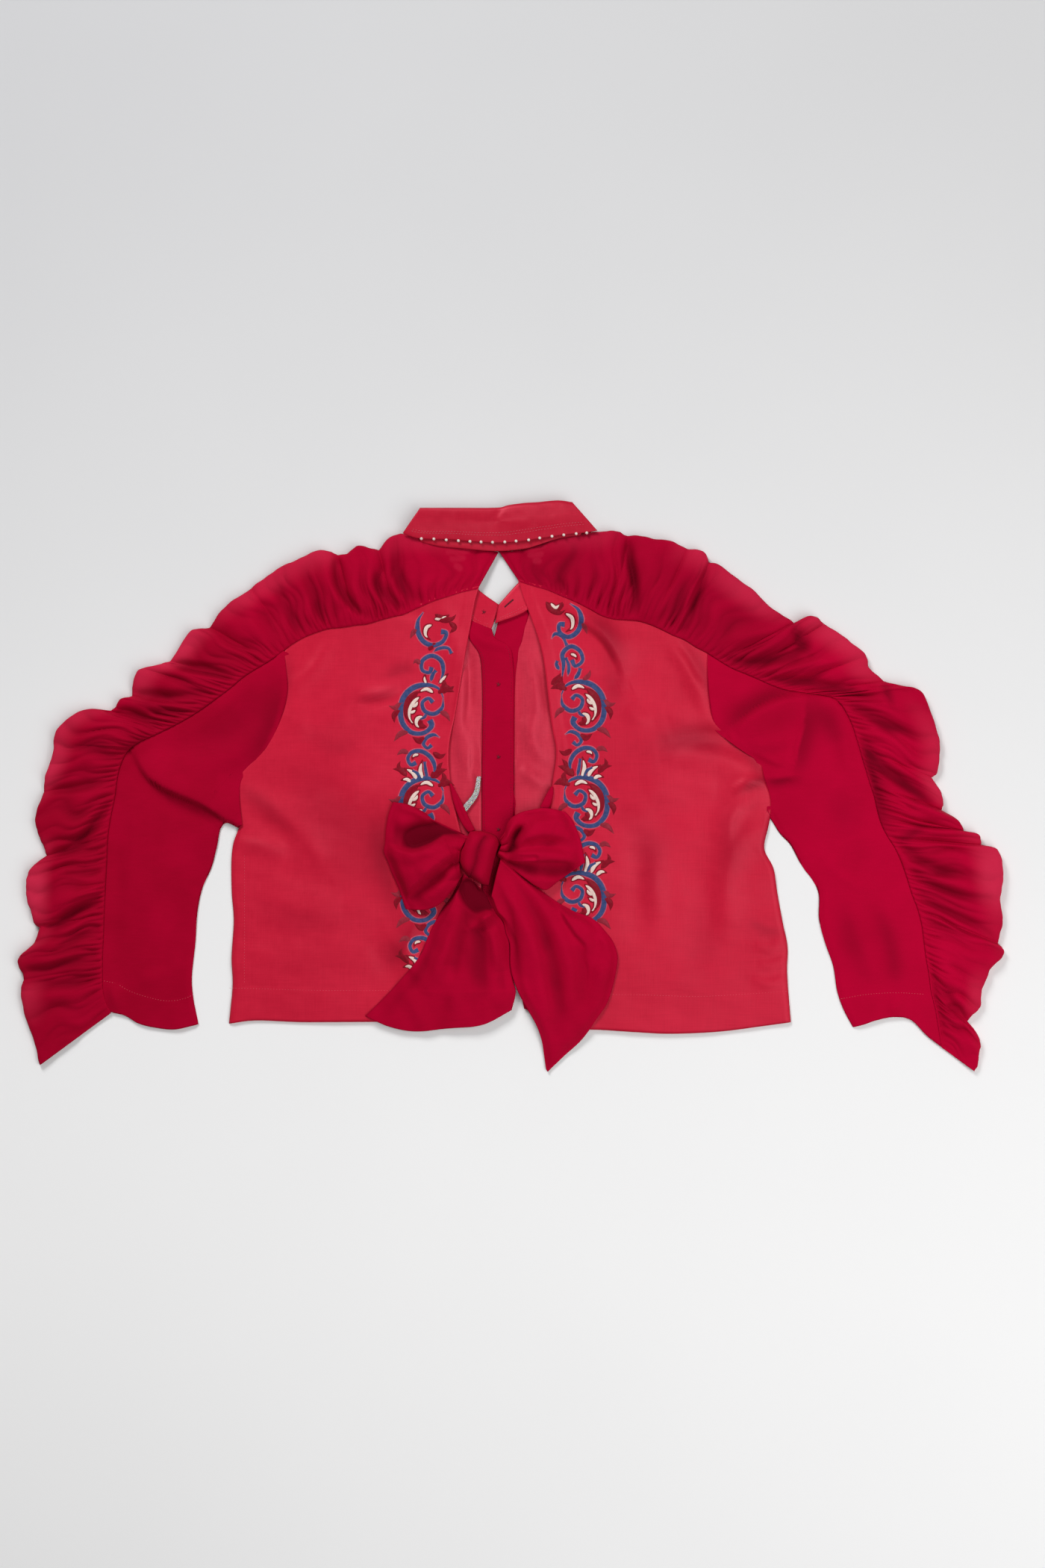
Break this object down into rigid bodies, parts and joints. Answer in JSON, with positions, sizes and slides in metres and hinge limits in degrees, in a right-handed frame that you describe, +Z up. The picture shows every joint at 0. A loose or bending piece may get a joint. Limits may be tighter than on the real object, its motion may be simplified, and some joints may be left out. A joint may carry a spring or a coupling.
{
  "type": "cropped shirt",
  "caption": "Women's cropped satin shirt laid flat with its back up, gathered sheer sleeves, an open keyhole back and a large tied bow.",
  "frame": {"origin": "centre of the laid shirt's bounding box, on the surface that it lies on", "axes": "+X from the wearer's left sleeve to the right sleeve, +Y from the hem to the collar, +Z up from the surface, out of the shirt's back"},
  "size_m": [0.95, 0.5491, 0.0287],
  "materials": {
    "satin": "smooth coral-red satin with a soft sheen",
    "georgette": "matt sheer crimson georgette",
    "button": "small glossy shirt buttons",
    "lurex": "silver glitter cloth"
  },
  "bodies": {
    "root": {"back_left": "satin", "front_left": "satin", "back_right": "satin", "front_right": "satin", "stand_left": "satin", "stand_right": "satin", "collar_leaf_left": "satin", "collar_leaf_right": "satin", "collar_stand": "satin", "collar_fall": "satin", "sleeve_back_left": "georgette", "sleeve_front_left": "georgette", "sleeve_back_right": "georgette", "sleeve_front_right": "georgette", "ruche_left": "georgette", "ruche_right": "georgette", "placket_left": "georgette", "placket_right": "georgette", "bow_loop_left": "georgette", "bow_loop_right": "georgette", "bow_knot": "georgette", "bow_tail_left": "georgette", "bow_tail_right": "georgette", "tie_strap_left": "georgette", "tie_strap_right": "georgette", "button_1": "button", "button_2": "button", "button_3": "button", "button_4": "button", "button_5": "button", "button_6": "button", "silver_tab": "lurex"}
  },
  "joints": []
}
